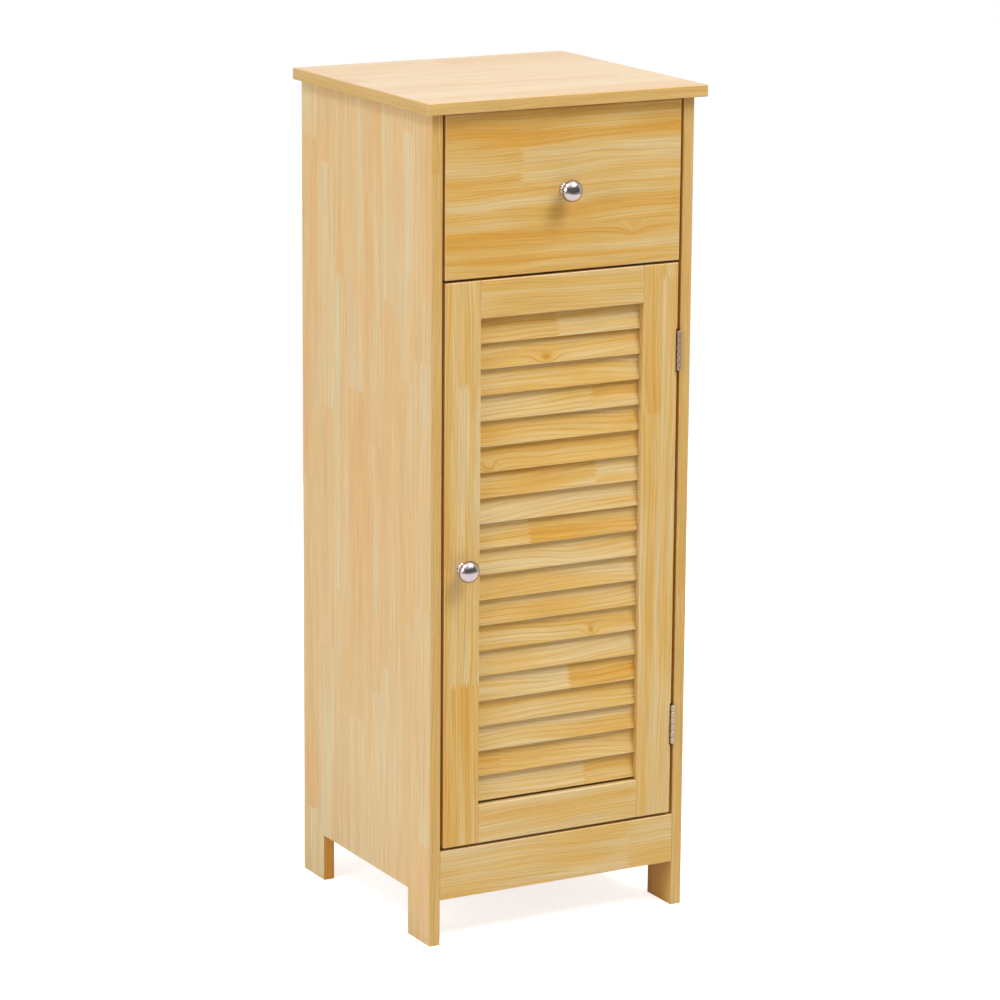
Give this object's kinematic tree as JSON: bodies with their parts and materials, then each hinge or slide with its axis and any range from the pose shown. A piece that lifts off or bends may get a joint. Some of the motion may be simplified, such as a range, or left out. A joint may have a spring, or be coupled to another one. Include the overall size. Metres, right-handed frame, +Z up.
{
  "type": "bathroom cupboard",
  "caption": "Slim free-standing bathroom cupboard in pine-look board: a drawer over a louvred door, a loose shelf inside, on board legs.",
  "frame": {"origin": "on the floor, midway across the cupboard and midway between the knobs' tips and the back", "axes": "+Z up, front towards -Y, +X to the right of someone who faces the front"},
  "size_m": [0.32, 0.313, 0.87],
  "materials": {
    "side_pine": "satin pine foil",
    "front_pine": "satin pine foil",
    "slat_pine": "satin pine foil",
    "inner_board": "satin pine foil",
    "hardboard": "smooth painted hardboard",
    "dowel_wood": "raw beech",
    "screw_steel": "zinc plated",
    "hinge_steel": "satin nickel plated",
    "knob_nickel": "satin nickel plated",
    "runner_plastic": "moulded",
    "magnet": "sintered ferrite"
  },
  "bodies": {
    "case": {"left_side_panel": "side_pine", "right_side_panel": "side_pine", "top_panel": "side_pine", "bottom_panel": "inner_board", "drawer_divider": "inner_board", "back_panel": "hardboard", "kick_board": "front_pine", "shelf": "inner_board", "shelf_pins": "screw_steel", "cam_bolts": "screw_steel", "cam_locks": "screw_steel", "dowels": "dowel_wood", "back_panel_screws": "screw_steel", "left_drawer_runner": "runner_plastic", "right_drawer_runner": "runner_plastic", "case_screws": "screw_steel", "upper_hinge_fixed_leaf": "hinge_steel", "lower_hinge_fixed_leaf": "hinge_steel", "magnet_catch": "runner_plastic", "catch_magnet": "magnet"},
    "drawer": {"drawer_front": "front_pine", "drawer_left_side": "inner_board", "drawer_right_side": "inner_board", "drawer_back": "inner_board", "drawer_bottom": "hardboard", "drawer_cam_bolts": "screw_steel", "drawer_cam_locks": "screw_steel", "drawer_screws": "screw_steel", "drawer_knob": "knob_nickel", "drawer_knob_screw": "screw_steel"},
    "door": {"lock_stile": "front_pine", "hinge_stile": "front_pine", "top_rail": "front_pine", "bottom_rail": "front_pine", "slat_01": "slat_pine", "slat_02": "slat_pine", "slat_03": "slat_pine", "slat_04": "slat_pine", "slat_05": "slat_pine", "slat_06": "slat_pine", "slat_07": "slat_pine", "slat_08": "slat_pine", "slat_09": "slat_pine", "slat_10": "slat_pine", "slat_11": "slat_pine", "slat_12": "slat_pine", "slat_13": "slat_pine", "slat_14": "slat_pine", "slat_15": "slat_pine", "slat_16": "slat_pine", "slat_17": "slat_pine", "slat_18": "slat_pine", "slat_19": "slat_pine", "door_knob": "knob_nickel", "door_knob_screw": "screw_steel", "upper_hinge_door_leaf": "hinge_steel", "lower_hinge_door_leaf": "hinge_steel", "hinge_pins": "hinge_steel", "door_screws": "screw_steel", "strike_plate": "hinge_steel"}
  },
  "joints": [
    {"name": "drawer_slide", "type": "slide", "parent": "case", "child": "drawer", "axis": [0, -1, 0], "range_m": [0, 0.19]},
    {"name": "door_hinge", "type": "hinge", "parent": "case", "child": "door", "pos_m": [0.13565, -0.1349, 0.3957], "axis": [0, 0, 1], "range_deg": [0, 180]}
  ]
}
